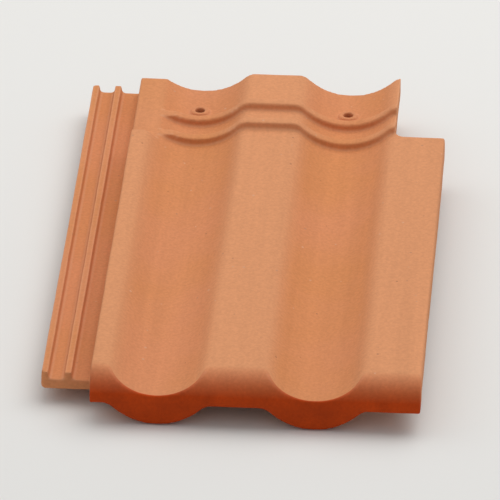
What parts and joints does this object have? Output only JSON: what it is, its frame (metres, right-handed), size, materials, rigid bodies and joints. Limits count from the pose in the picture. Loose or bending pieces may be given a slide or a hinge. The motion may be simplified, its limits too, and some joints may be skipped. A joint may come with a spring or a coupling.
{
  "type": "clay roof tile",
  "caption": "Interlocking fired clay roof tile with hollow troughs between flat rolls, a thick rounded nose, side and head locks, hanging nibs and nail holes.",
  "frame": {"origin": "bottom centre of the bounding box, on the floor plane that the nose and the nibs rest on", "axes": "+Z out of the weather side, +Y up the slope from nose to head, +X to the side that covers its neighbour"},
  "size_m": [0.205, 0.34, 0.0345],
  "materials": {
    "fired_clay": "matt unglazed fired clay"
  },
  "bodies": {
    "root": {"roof_tile": "fired_clay"}
  },
  "joints": []
}
